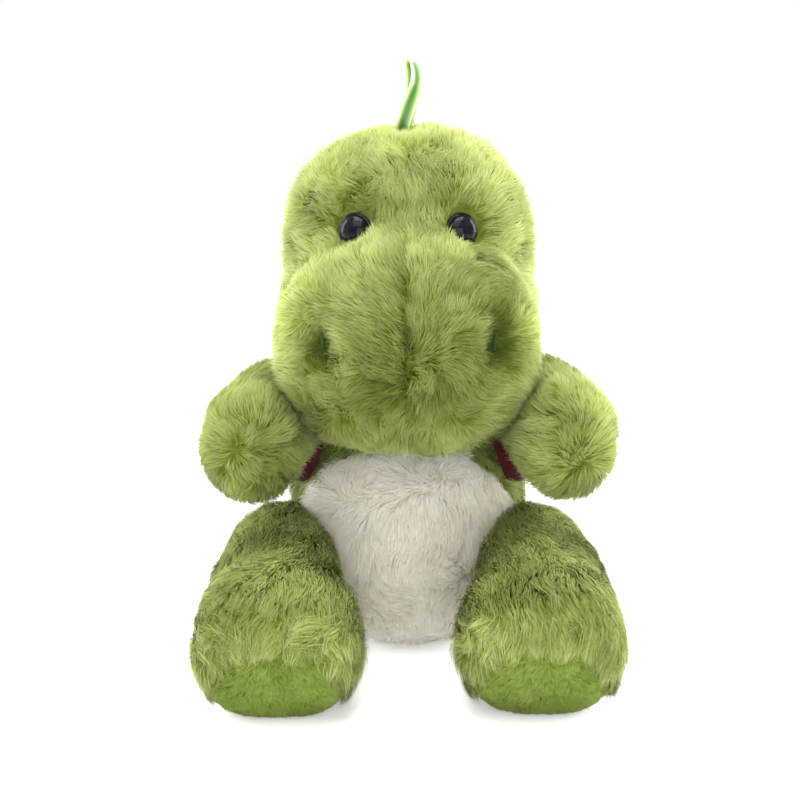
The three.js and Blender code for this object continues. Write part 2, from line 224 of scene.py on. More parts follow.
def cloth_material(name, dark, pale, scale, sheen=0.3):
    """Woven or knitted cloth: two crossed waves of thread and some uneven dye."""
    material = new_material(name)
    coordinates = add_node(material, "ShaderNodeTexCoord")
    waves = []
    for direction in ("X", "Z"):
        wave = add_node(material, "ShaderNodeTexWave", Scale=scale, Distortion=0.6)
        wave.bands_direction = direction
        link(material, coordinates.outputs["Object"], wave.inputs["Vector"])
        waves.append(wave.outputs["Color"])
    weave = add_node(material, "ShaderNodeMath")
    weave.operation = "MULTIPLY"
    link(material, waves[0], weave.inputs[0])
    link(material, waves[1], weave.inputs[1])
    dye = add_node(material, "ShaderNodeTexNoise", Scale=DYE_SCALE, Detail=4)
    link(material, coordinates.outputs["Object"], dye.inputs["Vector"])
    blend = add_node(material, "ShaderNodeMath")
    blend.operation = "ADD"
    link(material, weave.outputs[0], blend.inputs[0])
    link(material, dye.outputs["Fac"], blend.inputs[1])
    color = ramp(material, blend.outputs[0], [(0.35, dark), (1.0, pale)])
    shader = shader_of(material)
    link(material, color, shader.inputs["Base Color"])
    shader.inputs["Roughness"].default_value = 0.9
    shader.inputs["Specular IOR Level"].default_value = 0.15
    shader.inputs["Sheen Weight"].default_value = sheen
    relief = add_node(material, "ShaderNodeBump", Strength=0.3, Distance=WEAVE_RELIEF)
    link(material, weave.outputs[0], relief.inputs["Height"])
    link(material, relief.outputs["Normal"], shader.inputs["Normal"])
    return material


# ---------------------------------------------------------------- padded skins
def superball(centre, radii, roundness=2.0, segments=48, rings=32):
    """Vertices and faces of a rounded mass: an ellipsoid, or squarer where roundness is over 2."""
    around = np.linspace(0, 2 * np.pi, segments, endpoint=False)
    down = np.linspace(0, np.pi, rings + 1)[1:-1]
    points = [(0, 0, 1)]
    for phi in down:
        out, up = math.sin(phi), math.cos(phi)
        points += [(out * math.cos(a), out * math.sin(a), up) for a in around]
    points.append((0, 0, -1))
    p = np.array(points)
    p /= (np.abs(p) ** roundness).sum(1, keepdims=True) ** (1 / roundness)
    p = p * np.array(radii) + np.array(centre)
    faces = []
    last = len(p) - 1
    for i in range(segments):
        j = (i + 1) % segments
        faces.append((0, 1 + i, 1 + j))
        for row in range(rings - 2):
            a = 1 + row * segments
            faces.append((a + i, a + segments + i, a + segments + j, a + j))
        a = 1 + (rings - 2) * segments
        faces.append((a + i, last, a + j))
    return p, faces


def new_object(name, points, faces):
    mesh = bpy.data.meshes.new(name)
    mesh.from_pydata([tuple(p) for p in points], [], faces)
    mesh.update()
    piece = bpy.data.objects.new(name, mesh)
    bpy.context.scene.collection.objects.link(piece)
    return piece


def apply_modifiers(piece):
    depsgraph = bpy.context.evaluated_depsgraph_get()
    mesh = bpy.data.meshes.new_from_object(piece.evaluated_get(depsgraph))
    piece.modifiers.clear()
    old = piece.data
    piece.data = mesh
    bpy.data.meshes.remove(old)
    mesh.name = piece.name


def read_points(mesh, field="vertices", attribute="co"):
    items = getattr(mesh, field)
    values = np.empty(len(items) * 3, np.float32)
    items.foreach_get(attribute, values)
    return values.reshape(-1, 3).astype(float)


def write_points(mesh, points):
    mesh.vertices.foreach_set("co", points.astype(np.float32).ravel())
    mesh.update()


VOXEL = 4 * MM
EVEN_STEPS = 6
CLOTH_PRESSURE = 4
CLOTH_FRAMES = 20
START_SHARE = 0.35  # of the swelling that the masses are drawn in by at the start


def plump(name, masses, swell=3.5 * MM):
    """One stuffed skin: the masses joined, then blown up by cloth pressure."""
    points, faces = [], []
    for centre, radii, roundness in masses:
        p, f = superball(centre, np.array(radii) - swell * START_SHARE, roundness)
        start = len(points)
        points += list(p)
        faces += [tuple(start + i for i in face) for face in f]
    piece = new_object(name, points, faces)
    remesh = piece.modifiers.new("remesh", "REMESH")
    remesh.mode = "VOXEL"
    remesh.voxel_size = VOXEL
    even = piece.modifiers.new("even", "SMOOTH")
    even.iterations = EVEN_STEPS
    apply_modifiers(piece)
    inflate(piece, swell)
    fine = piece.modifiers.new("fine", "SUBSURF")
    fine.levels = 1
    apply_modifiers(piece)
    piece.data.shade_smooth()
    return piece


def inflate(piece, cap):
    """Cloth pressure for some frames. No point moves further than the cap."""
    scene = bpy.context.scene
    before = read_points(piece.data)
    cloth = piece.modifiers.new("cloth", "CLOTH")
    cloth.settings.use_pressure = True
    cloth.settings.uniform_pressure_force = CLOTH_PRESSURE
    cloth.settings.effector_weights.gravity = 0
    cloth.settings.quality = 4
    cloth.collision_settings.use_collision = False
    cloth.point_cache.frame_start = 1
    cloth.point_cache.frame_end = CLOTH_FRAMES
    for step in range(1, CLOTH_FRAMES + 1):
        scene.frame_set(step)
    apply_modifiers(piece)
    scene.frame_set(1)
    after = read_points(piece.data)
    move = after - before
    length = np.linalg.norm(move, axis=1, keepdims=True)
    write_points(piece.data, before + move * np.minimum(1, cap / np.maximum(length, 1e-9)))


def closeness(points, place, radius, stretch=1.0):
    """1 at a place, falling to 0 well outside the radius. stretch above 1 narrows it along an axis."""
    return np.exp(-((np.linalg.norm((points - place) * stretch, axis=1) / radius) ** 2))


def dent(piece, place, radius, depth):
    """Presses a soft hollow into a skin."""
    points = read_points(piece.data)
    normals = read_points(piece.data, "vertices", "normal")
    write_points(piece.data, points - normals * closeness(points, place, radius)[:, None] * depth)


# ---------------------------------------------------------------- fur
def surface_samples(mesh, count, rng, keep):
    """Points spread evenly over a mesh: places and smooth normals."""
    mesh.calc_loop_triangles()
    corners = np.empty(len(mesh.loop_triangles) * 3, np.int32)
    mesh.loop_triangles.foreach_get("vertices", corners)
    corners = corners.reshape(-1, 3)
    points = read_points(mesh)
    normals = read_points(mesh, "vertices", "normal")
    a, b, c = (points[corners[:, k]] for k in range(3))
    area = np.linalg.norm(np.cross(b - a, c - a), axis=1)
    chosen = rng.choice(len(corners), count, p=area / area.sum())
    u, v = rng.random(count), rng.random(count)
    over = u + v > 1
    u[over], v[over] = 1 - u[over], 1 - v[over]
    weights = np.stack([1 - u - v, u, v], 1)[:, :, None]
    place = (points[corners[chosen]] * weights).sum(1)
    normal = unit((normals[corners[chosen]] * weights).sum(1))
    if keep is not None:
        good = keep(place)
        place, normal = place[good], normal[good]
    return place, normal


def unit(vectors):
    return vectors / np.maximum(np.linalg.norm(vectors, axis=-1, keepdims=True), 1e-9)


def flat_to(normal, vectors):
    """The part of each vector that lies in the surface."""
    return vectors - normal * (vectors * normal).sum(1, keepdims=True)


def field(points, scale, offset):
    """A smooth random vector for each point."""
    p = points / scale + offset
    waves = []
    for axis in range(3):
        q = p @ np.array([[1.0, 0.7, -0.4], [-0.6, 1.1, 0.5], [0.3, -0.8, 1.2]])[:, axis]
        r = p @ np.array([[-0.5, 1.3, 0.2], [0.9, -0.2, 1.0], [1.2, 0.4, -0.7]])[:, axis]
        waves.append(np.sin(q + 1.7 * axis) + np.sin(1.9 * r + 2.3 * axis) * 0.6)
    return np.stack(waves, 1) / 1.6


def nearest(seeds, points):
    tree = kdtree.KDTree(len(seeds))
    for index, seed in enumerate(seeds):
        tree.insert(seed, index)
    tree.balance()
    return np.array([tree.find(point)[1] for point in points])


ROW_WIDTHS = (1.0, 0.8)  # of a strand's full width, at its root and its middle; its tip is a point
CORNERS = 5  # of a strand: two at its root, two at its middle and its tip
CORNER_PLACES = (0.0, 0.0, 0.5, 0.5, 0.98)  # of each corner, along the strand
ROOT_SINK = 0.6 * MM
LONG_SHARE, LONG_TIMES = 0.07, 1.3  # this share of the strands is this much longer than the rest
LENGTH_RANGE = (0.75, 1.1)  # of one strand
LOCK_LENGTHS = (0.88, 1.08)  # of all strands in a lock
TUFT_PULL = 0.2
PATCH_SIZE, SHADE_SIZE = 9 * MM, 17 * MM
MIDDLE_SHADE = 0.58
SHADE_OF = {"strand": 0.15, "lock": 0.13, "tuft": 0.27, "patch": 0.14, "region": 0.1}  # how widely each spreads it


def fur(name, skin, density, length, comb, seed, material, lay=0.55, width=0.24 * MM, lock=2.4 * MM,
        tuft=7 * MM, gather=0.24, keep=None, droop=0.0, shade=None, trim=None, mess=0.25, swirl=0.5):
    """Tapered strands on a skin, gathered into locks.

    density is strands per square millimetre, comb gives the way that the pile lies at each point,
    lay how flat it lies, lock and tuft the spacing of small and big clumps, and gather how far each lock
    closes at its tip. mess turns each clump by itself, and swirl turns whole patches. trim gives the share
    of its length that the pile keeps at each point, and shade how much paler or darker it is, which is
    mostly painted light and shade.
    """
    rng = np.random.default_rng(seed)
    skin.data.calc_loop_triangles()
    area = sum(t.area for t in skin.data.loop_triangles) / MM**2
    place, normal = surface_samples(skin.data, int(area * density), rng, keep)
    count = len(place)
    seeds = place[rng.permutation(count)[: max(8, int(count / density / (lock / MM) ** 2))]]
    home = nearest(seeds, place)
    tufts = seeds[: max(4, int(len(seeds) * (lock / tuft) ** 2))]
    tuft_home = nearest(tufts, place)
    lock_turn = rng.normal(size=(len(seeds), 3))
    lock_length = rng.uniform(*LOCK_LENGTHS, len(seeds))
    lock_shade = rng.random(len(seeds))
    tuft_turn = rng.normal(size=(len(tufts), 3))
    tuft_shade = rng.random(len(tufts))

    patch = field(place, PATCH_SIZE, seed)
    flow = unit(flat_to(normal, comb(place, normal))) + swirl * flat_to(normal, patch)
    turn = mess * (lock_turn[home] + 1.2 * tuft_turn[tuft_home])
    flow = unit(flow + flat_to(normal, turn))
    stray = rng.normal(size=(count, 3)) * (0.1 + 0.4 * mess)
    reach = length * lock_length[home] * rng.uniform(*LENGTH_RANGE, count)
    reach *= np.where(rng.random(count) < LONG_SHARE, LONG_TIMES, 1)
    if trim is not None:
        reach = reach * trim(place)
    reach = reach[:, None]
    lay = np.clip(lay + 0.16 * patch[:, :1], 0.15, 0.9)
    start = unit(normal * (1.1 - lay) + flow * lay * 0.6 + stray)
    end = unit(normal * (0.75 - lay) + flow * lay * 1.5 + np.array([0, 0, -droop]) + stray)
    middle = place + start * reach * 0.5
    tip = middle + end * reach * 0.5
    pull = gather * rng.uniform(0.4, 1.3, (count, 1)) * (clump_middles(tip, home, len(seeds)) - tip)
    pull += TUFT_PULL * (clump_middles(tip, tuft_home, len(tufts)) - tip)

    rows = np.stack([place - normal * ROOT_SINK, middle + pull * 0.3, tip + pull], 1)
    rows[:, :, 2] = np.maximum(rows[:, :, 2], FLOOR_CLEAR)
    along = unit(rows[:, -1] - rows[:, 0])
    across = unit(np.cross(along, normal + 0.3 * rng.normal(size=(count, 3))))
    half = width * rng.uniform(0.7, 1.25, count)[:, None] / 2
    vertices = np.empty((count, CORNERS, 3))
    for row, share in enumerate(ROW_WIDTHS):
        vertices[:, 2 * row] = rows[:, row] - across * half * share
        vertices[:, 2 * row + 1] = rows[:, row] + across * half * share
    vertices[:, 4] = rows[:, 2]

    own = MIDDLE_SHADE + SHADE_OF["strand"] * (rng.random(count) - 0.5)
    own += SHADE_OF["lock"] * (lock_shade[home] - 0.5)
    own += SHADE_OF["tuft"] * (tuft_shade[tuft_home] - 0.5) + SHADE_OF["patch"] * patch[:, 1]
    own += SHADE_OF["region"] * field(place, SHADE_SIZE, seed + 3.0)[:, 0]
    # painted light and shade for where the strand grows
    if shade is not None:
        own += shade(place, normal)
    own = np.clip(own, 0.02, 0.98)
    facing = unit(normal + 0.2 * (end - normal * (end * normal).sum(1, keepdims=True)) + 0.6 * stray)
    piece = strand_mesh(name, vertices, own, facing)
    piece.data.materials.append(material)
    return piece


def clump_middles(tips, home, count):
    """For each strand, the middle of its clump's tips."""
    total = np.zeros((count, 3))
    size = np.zeros(count)
    np.add.at(total, home, tips)
    np.add.at(size, home, 1)
    return (total / np.maximum(size, 1)[:, None])[home]


def strand_mesh(name, vertices, own, facing):
    """A quad and a triangle for each strand. Its UV is its shade and its root-to-tip place.

    All of a strand is lit as if it faced one way, which gives the soft look of fine pile.
    """
    count = len(vertices)
    corners = np.array([0, 1, 3, 2, 2, 3, 4])
    loops = (np.arange(count)[:, None] * CORNERS + corners).ravel()
    starts = (np.arange(count)[:, None] * len(corners) + np.array([0, 4])).ravel()
    mesh = bpy.data.meshes.new(name)
    mesh.vertices.add(count * CORNERS)
    mesh.vertices.foreach_set("co", vertices.astype(np.float32).ravel())
    mesh.loops.add(len(loops))
    mesh.loops.foreach_set("vertex_index", loops.astype(np.int32))
    mesh.polygons.add(count * 2)
    mesh.polygons.foreach_set("loop_start", starts.astype(np.int32))
    mesh.update(calc_edges=True)
    height = np.array(CORNER_PLACES)[corners]
    uv = np.empty((count, len(corners), 2), np.float32)
    uv[:, :, 0] = own[:, None]
    uv[:, :, 1] = height[None, :] * 0.96 + 0.02
    layer = mesh.uv_layers.new(name=STRAND_MAP)
    layer.data.foreach_set("uv", uv.ravel())
    mesh.shade_smooth()
    normals = mesh.attributes.new("custom_normal", "FLOAT_VECTOR", "POINT")
    normals.data.foreach_set("vector", np.repeat(facing, CORNERS, axis=0).astype(np.float32).ravel())
    piece = bpy.data.objects.new(name, mesh)
    bpy.context.scene.collection.objects.link(piece)
    return piece


# ---------------------------------------------------------------- places worked out from the frame
def pivot(joint):
    return np.array(JOINTS[joint]["pos_m"])


def box_of(*nodes):
    """(lowest, highest) corner of several CAD nodes together."""
    boxes = [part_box(node) for node in nodes]
    low = np.min([np.array(b[0]) for b in boxes], axis=0)
    high = np.max([np.array(b[1]) for b in boxes], axis=0)
    return low, high


CROWN_LOW, CROWN_HIGH = box_of("crown_skin")
MUZZLE_LOW, MUZZLE_HIGH = box_of("muzzle_left", "muzzle_right")
TORSO_LOW, TORSO_HIGH = box_of("torso_skin")

CRANIUM_RADII = np.array([CROWN_HIGH[0], (CROWN_HIGH[1] - CROWN_LOW[1]) / 2, CROWN_HIGH[0] * 0.955])
CRANIUM_RADII -= PILE_DEPTH
CRANIUM = np.array([0, (CROWN_HIGH[1] + CROWN_LOW[1]) / 2, CROWN_HIGH[2] - PILE_DEPTH - CRANIUM_RADII[2]])
MUZZLE_RADII = np.array([MUZZLE_HIGH[0], MUZZLE_HIGH[0] * 0.79, (MUZZLE_HIGH[2] - MUZZLE_LOW[2]) / 2])
MUZZLE_RADII -= PILE_DEPTH
MUZZLE = np.array([0, MUZZLE_LOW[1] + PILE_DEPTH + MUZZLE_RADII[1], (MUZZLE_LOW[2] + MUZZLE_HIGH[2]) / 2])
NOSE = MUZZLE + np.array([0, -MUZZLE_RADII[1], -9 * MM])

NOSTRIL_RADIUS = 8 * MM
NOSTRIL_DEPTH = 12 * MM
NOSTRIL_OVAL = (1, 1.8, 1.5)  # its sizes across, front to back and up and down
EYE_HEIGHT = 4.6 * MM
EYE_RIM = 1.2 * MM
EYE_RADIUS = 6.4 * MM
EYE_FACING = unit(np.array([0.34, -0.92, 0.2]))
EYE_DROP = 2.2 * MM  # the pile round an eye stands higher over it than under it
PAW_RADIUS = 17.5 * MM
PAW_LIFT = {"left": 2.5 * MM, "right": 0.5 * MM}
FOOT_RADIUS = 29.5 * MM
FOOT_OFF = {"left": np.array([1, 0, 0]) * MM, "right": np.array([-0.5, -3.5, 0]) * MM}  # not quite alike
STRAP_REACH = np.array([27, 20]) * MM  # forwards and back, and up and down
STRAP_WIDTH = 6 * MM
STRAP_THICKNESS = 1.6 * MM
SOLE_TILT = math.radians(40)
SOLE_WRAP = math.radians(58)  # the panel reaches farther back under the foot than over it
SOLE_DEPTH = 19 * MM
SOLE_HALF_WIDTH = 25 * MM
BELLY_CENTRE_Z = 57 * MM  # where the panel is widest
BELLY_HALF_WIDTH = 39.5 * MM
BELLY_UP = 29 * MM
BELLY_DOWN = 54 * MM


def mirror(side, vector):
    return np.array([side * vector[0], vector[1], vector[2]])


def nostril_place(side):
    low, high = box_of("nostril_stitch_left")
    return mirror(side, np.array([(low[0] + high[0]) / 2, low[1], (low[2] + high[2]) / 2]))


def near_nostril(points, radius):
    """1 at a nostril, falling to 0 away from it. Each one is a tall oval."""
    total = np.zeros(len(points))
    for _, side in SIDES:
        away = (points - nostril_place(side)) / NOSTRIL_OVAL
        total += np.exp(-((away / radius) ** 2).sum(1))
    return total


def eye_place(side):
    low, high = box_of("eye_left")
    reach = EYE_RADIUS * np.sqrt(1 - EYE_FACING**2)
    x = high[0] - reach[0] - EYE_RIM * EYE_FACING[0]
    y = low[1] + EYE_HEIGHT * abs(EYE_FACING[1]) - 2 * MM
    z = high[2] - reach[2] - EYE_RIM * EYE_FACING[2] - EYE_DROP
    return mirror(side, np.array([x, y, z]))


def row_of_balls(start, end, radii, count=7):
    """Masses along a line, with radii given at evenly spaced places on it."""
    masses = []
    for t in np.linspace(0, 1, count):
        radius = np.interp(t, np.linspace(0, 1, len(radii)), radii) - PILE_DEPTH
        masses.append((start + (end - start) * t, np.full(3, radius), 2))
    return masses


# ---------------------------------------------------------------- the toy's parts
PILE = 9.5 * MM


def make_pile_materials():
    # each is (root, middle, tip): roots mostly darker as painted shade deep in the pile, tips paler as a painted
    # highlight
    green_dull = [(0.050, 0.068, 0.004), (0.045, 0.064, 0.004), (0.068, 0.09, 0.007)]
    green_bright = [(0.21, 0.255, 0.025), (0.30, 0.355, 0.055), (0.49, 0.55, 0.25)]
    sole_dull = [(0.055, 0.09, 0.007), (0.065, 0.105, 0.009), (0.09, 0.14, 0.015)]
    sole_bright = [(0.12, 0.18, 0.015), (0.17, 0.24, 0.032), (0.25, 0.32, 0.075)]
    cream_dull = [(0.60, 0.54, 0.42), (0.63, 0.58, 0.47), (0.66, 0.62, 0.52)]
    cream_bright = [(0.68, 0.64, 0.53), (0.72, 0.69, 0.60), (0.75, 0.73, 0.66)]
    return {
        "green": pile_material("green_pile", green_dull, green_bright, (0.9, 1.0, 0.55)),
        "sole": pile_material("sole_pile", sole_dull, sole_bright, (0.8, 1.0, 0.4)),
        "cream": pile_material("cream_pile", cream_dull, cream_bright, (1.0, 0.97, 0.9)),
        "backing": cloth_material("green_backing", (0.10, 0.13, 0.009), (0.15, 0.19, 0.018), 900),
        "cream_backing": cloth_material("cream_backing", (0.52, 0.46, 0.35), (0.64, 0.58, 0.47), 900),
        "webbing": cloth_material("maroon_webbing", (0.02, 0.001, 0.003), (0.055, 0.003, 0.007), 1400, 0.0),
        "thread": cloth_material("green_thread", (0.012, 0.03, 0.008), (0.04, 0.07, 0.015), 3000, 0.0),
    }


def finish_skin(skin, body, replaced, material):
    skin.data.materials.append(material)
    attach(skin, body)
    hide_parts(*replaced)


def finish_fur(piece, body):
    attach(piece, body)


def cut_out(skin, name, keep, lift=0.0):
    """A panel: the faces of a skin whose middles are kept, taken out of it."""
    mesh = skin.data
    middles = read_points(mesh, "polygons", "center")
    chosen = keep(middles)
    points = read_points(mesh) + read_points(mesh, "vertices", "normal") * lift
    faces = [tuple(polygon.vertices) for polygon in mesh.polygons]
    for label, wanted in ((name, chosen), (None, ~chosen)):
        used = [face for face, want in zip(faces, wanted) if want]
        order = {}
        for face in used:
            for index in face:
                order.setdefault(index, len(order))
        base = points if label else read_points(mesh)
        kept = [tuple(base[index]) for index in order]
        renumbered = [tuple(order[index] for index in face) for face in used]
        if label:
            panel = new_object(label, kept, renumbered)
            panel.data.shade_smooth()
        else:
            rest = bpy.data.meshes.new(skin.name)
            rest.from_pydata(kept, [], renumbered)
            rest.update()
            rest.shade_smooth()
    skin.data = rest
    bpy.data.meshes.remove(mesh)
    return panel


def make_head(materials):
    jowl = np.array([15 * MM, MUZZLE[1] + 2 * MM, MUZZLE[2] - 13 * MM])
    jowl_radii = np.array([29, 31, 24]) * MM
    temples = CRANIUM + np.array([0, -9 * MM, -20 * MM])
    temple_radii = CRANIUM_RADII * [1.1, 0.8, 0.5]
    crown_radii = CRANIUM_RADII + np.array([1.5, 0, 0]) * MM
    muzzle_radii = MUZZLE_RADII + np.array([2, 0, 0]) * MM
    masses = [(CRANIUM, crown_radii, 2.1), (MUZZLE, muzzle_radii, 2.4), (temples, temple_radii, 2)]
    masses += [(mirror(side, jowl), jowl_radii, 2.1) for _, side in SIDES]
    head = plump("head_skin", masses)
    for _, side in SIDES:
        dent(head, nostril_place(side), NOSTRIL_RADIUS, NOSTRIL_DEPTH)
    for _, side in SIDES:
        dent(head, eye_place(side), 9 * MM, 4 * MM)
    groove_muzzle(head)

    muzzle = cut_out(head, "muzzle_plush", muzzle_front)
    finish_skin(head, "head", ["crown_skin", "head_stuffing"], materials["backing"])
    finish_skin(muzzle, "head", ["muzzle_left", "muzzle_right"], materials["backing"])
    return head, muzzle


def muzzle_front(points):
    """True in front of the seam between crown and muzzle."""
    seam = CROWN_LOW[1] + 10 * MM + 0.35 * np.maximum(points[:, 2] - MUZZLE[2], 0)
    return (points[:, 1] < seam) & (points[:, 2] < MUZZLE_HIGH[2] + 4 * MM)


def groove_muzzle(head):
    """The seam down the middle of the muzzle draws it in a little."""
    points = read_points(head.data)
    normals = read_points(head.data, "vertices", "normal")
    near = np.exp(-((points[:, 0] / (3 * MM)) ** 2)) * (points[:, 1] < MUZZLE[1])
    write_points(head.data, points - normals * (near * 1.2 * MM)[:, None])


def clear_of_eyes(points, radius=8 * MM):
    good = np.ones(len(points), bool)
    for _, side in SIDES:
        good &= np.linalg.norm(points - eye_place(side), axis=1) > radius
    return good


def comb_crown(points, normals):
    face = CRANIUM + np.array([0, -CRANIUM_RADII[1], 2 * MM])
    flow = unit(points - face)
    for _, side in SIDES:
        away = points - eye_place(side)
        flow += 2.2 * closeness(points, eye_place(side), 14 * MM)[:, None] * unit(away)
    flow[:, 2] -= 0.5 * (points[:, 1] > CRANIUM[1])
    return unit(flow)


def on_seam(points, width):
    """1 on the seam down the middle of the muzzle, fading beside it and towards both of its ends."""
    along = (points[:, 2] - NOSE[2] - 18 * MM) / (20 * MM)
    return np.exp(-((points[:, 0] / width) ** 2)) * np.exp(-(along**4))


def comb_muzzle(points, normals):
    """Out from the nose, and away from the middle seam and the nostrils."""
    flow = unit(points - NOSE)
    flow[:, 2] -= 0.15
    flow[:, 0] += 0.8 * on_seam(points, 6 * MM) * np.sign(points[:, 0])
    for _, side in SIDES:
        away = points - nostril_place(side)
        flow += 2.5 * closeness(points, nostril_place(side), 8 * MM)[:, None] * unit(away)
    return unit(flow)


def muzzle_keep(points):
    """Leaves the pile off round the eyes, on the seam and at the bottom of the nostrils."""
    seam, nostril = on_seam(points, 0.7 * MM), near_nostril(points, 2.5 * MM)
    return clear_of_eyes(points) & (seam < 0.7) & (nostril < 0.6)


def muzzle_painted_light_and_shade(points, normals):
    """Painted shade in the nostrils, on the seam, round the nose and on top, and a painted highlight at the sides.
    """
    front = closeness(points, NOSE, 34 * MM, [1, 1, 0.8])
    side = np.clip(np.abs(points[:, 0]) / MUZZLE_RADII[0] - 0.6, 0, 1)
    upward = np.clip(normals[:, 2], 0, 1)
    nostril, seam = near_nostril(points, 7 * MM), on_seam(points, 2 * MM)
    return side - (1.1 * nostril + 0.4 * seam + 0.28 * front + 0.12 * upward)


def crown_painted_light(points, normals):
    """Painted highlight at the top and the sides, where the pile's tips would catch the light, and painted shade
    elsewhere.
    """
    side = np.clip(np.abs(points[:, 0]) / CRANIUM_RADII[0] - 0.5, 0, 1)
    return 0.32 * np.clip(normals[:, 2], 0, 1) + 0.55 * side - 0.22


def face_trim(points):
    """The pile is cut shorter round the eyes and the nostrils, and parted in front of the ribbon."""
    eyes = np.zeros(len(points))
    for _, side in SIDES:
        eyes += closeness(points, eye_place(side), 11 * MM)
    ribbon = pivot("loop_fold") + np.array([-1.5, -9, -3]) * MM
    parting = closeness(points, ribbon, 7 * MM, [1.3, 1, 1])
    nostril = np.clip(near_nostril(points, 7.5 * MM), 0, 1)
    return 1 - 0.75 * parting - 0.45 * np.clip(eyes, 0, 1) - 0.7 * nostril


def halves(keep=None):
    """The two halves of a skin, so that no one piece has too many strands."""
    for word, side in SIDES:
        yield word, lambda points, side=side: (points[:, 0] * side >= 0) & (not keep or keep(points))


def furnish_head(head, muzzle, green):
    for index, (word, keep) in enumerate(halves(clear_of_eyes)):
        piece = fur(f"crown_pile_{word}", head, 4.6, PILE, comb_crown, 11 + index, green,
                    lay=0.5, keep=keep, swirl=0.7, shade=crown_painted_light, trim=face_trim)
        finish_fur(piece, "head")
    for index, (word, keep) in enumerate(halves(muzzle_keep)):
        piece = fur(f"muzzle_pile_{word}", muzzle, 6.0, PILE * 0.95, comb_muzzle, 21 + index, green,
                    lay=0.52, keep=keep, swirl=1.1, shade=muzzle_painted_light_and_shade, trim=face_trim)
        finish_fur(piece, "head")


def make_torso(materials):
    half = (TORSO_HIGH - TORSO_LOW) / 2
    masses = [
        ((0, 2 * MM, 43 * MM), (half[0], half[0] * 0.9, 42 * MM), 2),  # seat
        ((0, 1 * MM, 62 * MM), (46 * MM, 37 * MM, 37 * MM), 2),  # belly
        ((0, 3 * MM, 84 * MM), (31 * MM, 27 * MM, 28 * MM), 2),  # chest
    ]
    masses = [(np.array(at), np.array(radii) - PILE_DEPTH, power) for at, radii, power in masses]
    torso = plump("torso_plush", masses)
    sit(torso)
    belly = cut_out(torso, "belly_plush", on_belly, lift=0.4 * MM)
    finish_skin(torso, "torso", ["torso_skin", "torso_stuffing", "pellet_pouch"],
                materials["backing"])
    finish_skin(belly, "torso", ["belly_panel"], materials["cream_backing"])
    return torso, belly


def sit(piece, height=0.6 * MM):
    """Flattens what would go through the floor."""
    points = read_points(piece.data)
    points[:, 2] = np.maximum(points[:, 2], height)
    write_points(piece.data, points)


def on_belly(points):
    x = points[:, 0] / BELLY_HALF_WIDTH
    z = points[:, 2] - BELLY_CENTRE_Z
    z = np.where(z > 0, z / BELLY_UP, z / BELLY_DOWN)
    return (x * x + z * z < 1) & (points[:, 1] < -6 * MM)


def comb_down(points, normals):
    flow = np.zeros_like(points)
    flow[:, 2] = -1
    flow[:, 0] = 0.3 * np.sign(points[:, 0])
    return flow


def comb_belly(points, normals):
    middle = np.array([0, -45 * MM, BELLY_CENTRE_Z])
    flow = 0.5 * unit(points - middle)
    flow[:, 2] -= 0.8
    return flow


def make_neck(materials):
    """The top of the torso's plush runs up into the head. It turns with the head."""
    low, high = box_of("neck_stuffing")
    middle = (low + high) / 2
    radii = (high - low) / 2 + np.array([5 * MM, 5 * MM, 0])
    neck = plump("neck_plush", [(middle, radii, 2)], swell=MM)
    finish_skin(neck, "neck", ["neck_stuffing"], materials["backing"])
    piece = fur("neck_pile", neck, 3, PILE * 0.8, comb_down, 91, materials["green"], lay=0.5)
    finish_fur(piece, "neck")


def furnish_torso(torso, belly, materials):
    for index, (word, keep) in enumerate(halves()):
        piece = fur(f"torso_pile_{word}", torso, 3.3, PILE * 0.9, comb_down, 31 + index, materials["green"],
                    lay=0.55, keep=keep)
        finish_fur(piece, "torso")
    piece = fur("belly_pile", belly, 7, PILE * 0.7, comb_belly, 35, materials["cream"],
                lay=0.66, gather=0.15, mess=0.1, swirl=1.1)
    finish_fur(piece, "torso")


def front_painted_shade(points, normals):
    """Painted shade: the pile that faces forwards is a little darker."""
    return -0.18 * np.clip(-normals[:, 1], 0, 1)


def make_arm(word, side, materials):
    low, high = box_of("arm_skin_left")
    shoulder = mirror(side, pivot("left_arm_swing"))
    paw = [high[0] - PAW_RADIUS - 4 * MM, low[1] + PAW_RADIUS, high[2] - PAW_RADIUS - MM]
    paw = mirror(side, paw)
    paw[2] += PAW_LIFT[word]
    upper = (shoulder + paw) / 2 + mirror(side, np.array([3, 6, 12])) * MM
    masses = row_of_balls(shoulder, upper, np.array([16.5, 18]) * MM, 4)
    masses += row_of_balls(upper, paw, np.array([18, 17.5]) * MM, 4)
    masses.append((paw, np.array([17, 18.5, 20.5]) * MM, 2.1))
    arm = plump(f"arm_plush_{word}", masses, swell=2 * MM)
    body = f"{word}_arm"
    stands_for = [f"arm_skin_{word}", f"arm_stuffing_{word}"]
    finish_skin(arm, body, stands_for, materials["backing"])
    front = paw + np.array([side * 4 * MM, -PAW_RADIUS, 0])

    def comb(points, normals):
        return unit(points - front)

    piece = fur(f"arm_pile_{word}", arm, 5.4, PILE * 0.95, comb, 41 + side, materials["green"], lay=0.5,
                keep=clear_of_straps, swirl=1.0, shade=front_painted_shade)
    finish_fur(piece, body)


def sole_normal(tilt):
    return np.array([0, -math.cos(tilt), -math.sin(tilt)])


# painted light on top of each thigh, and painted shade on the shin
THIGH_FROM = 0.3  # of the way from the foot to the hip, where the pile starts to turn paler
THIGH_OVER = 0.3
THIGH_PAINTED_LIGHT = 0.24
SHIN_SHADE = -0.07


